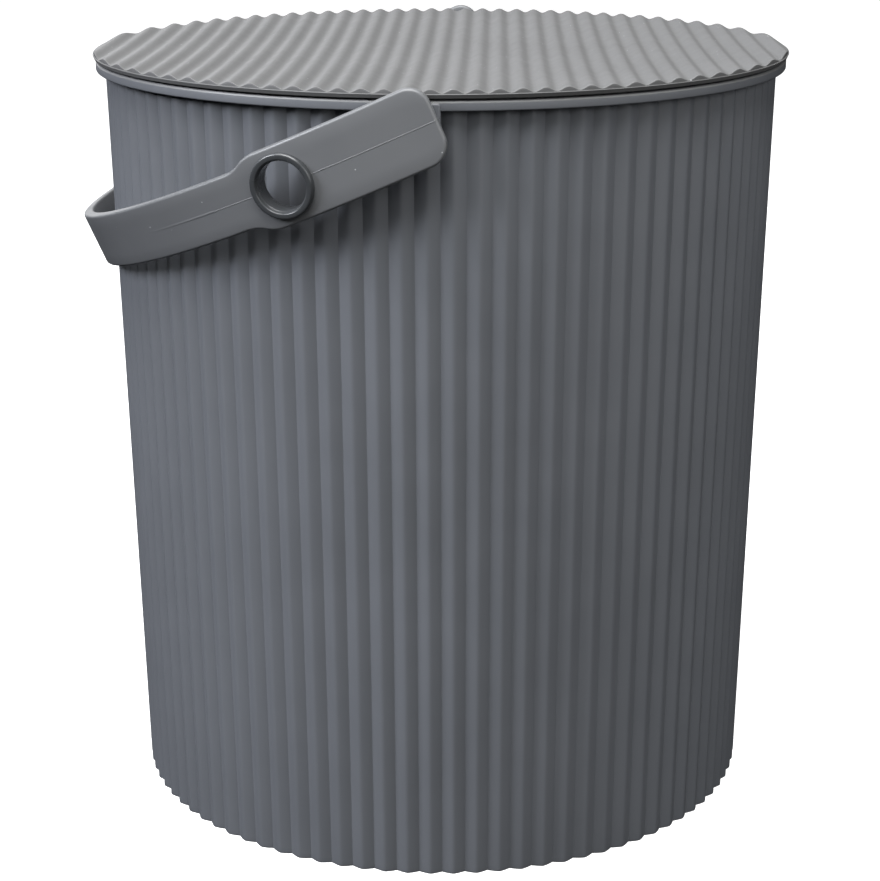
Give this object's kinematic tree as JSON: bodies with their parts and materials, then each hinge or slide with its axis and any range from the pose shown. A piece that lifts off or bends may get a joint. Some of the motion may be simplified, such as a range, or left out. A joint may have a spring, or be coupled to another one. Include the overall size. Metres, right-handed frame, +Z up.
{
  "type": "lidded bucket",
  "caption": "Round ribbed plastic bucket with a corrugated lift-off lid and a strap handle that swings over on side pivots, with an eyelet in each wide strap end.",
  "frame": {"origin": "centre of the foot ring, in the plane it stands on", "axes": "+Z up along the bucket's axis, Y along the line through the two handle pivots, -X towards the side where the handle hangs at rest"},
  "size_m": [0.3223, 0.3278, 0.3468],
  "materials": {
    "body_plastic": "dark cool grey polypropylene, fine satin texture",
    "lid_plastic": "dark grey polypropylene, fine satin texture",
    "handle_plastic": "dark grey polypropylene, smooth satin",
    "eyelet_plastic": "near-black plastic, half gloss"
  },
  "bodies": {
    "bucket": {"bucket_base": "body_plastic", "bucket_wall": "body_plastic", "bucket_rim": "body_plastic"},
    "lid": {"lid": "lid_plastic"},
    "handle": {"handle_grip": "handle_plastic", "handle_stretch_front": "handle_plastic", "handle_stretch_back": "handle_plastic", "handle_end_front": "handle_plastic", "handle_end_back": "handle_plastic", "pivot_pin_front": "handle_plastic", "pivot_pin_back": "handle_plastic", "eyelet_front": "eyelet_plastic", "eyelet_back": "eyelet_plastic"}
  },
  "joints": [
    {"name": "handle_swing", "type": "hinge", "parent": "bucket", "child": "handle", "pos_m": [0, 0, 0.3303], "axis": [0, 1, 0], "range_deg": [0, 227.8]},
    {"name": "lid_lift", "type": "slide", "parent": "bucket", "child": "lid", "axis": [0, 0, 1], "range_m": [0, 0.15]}
  ]
}
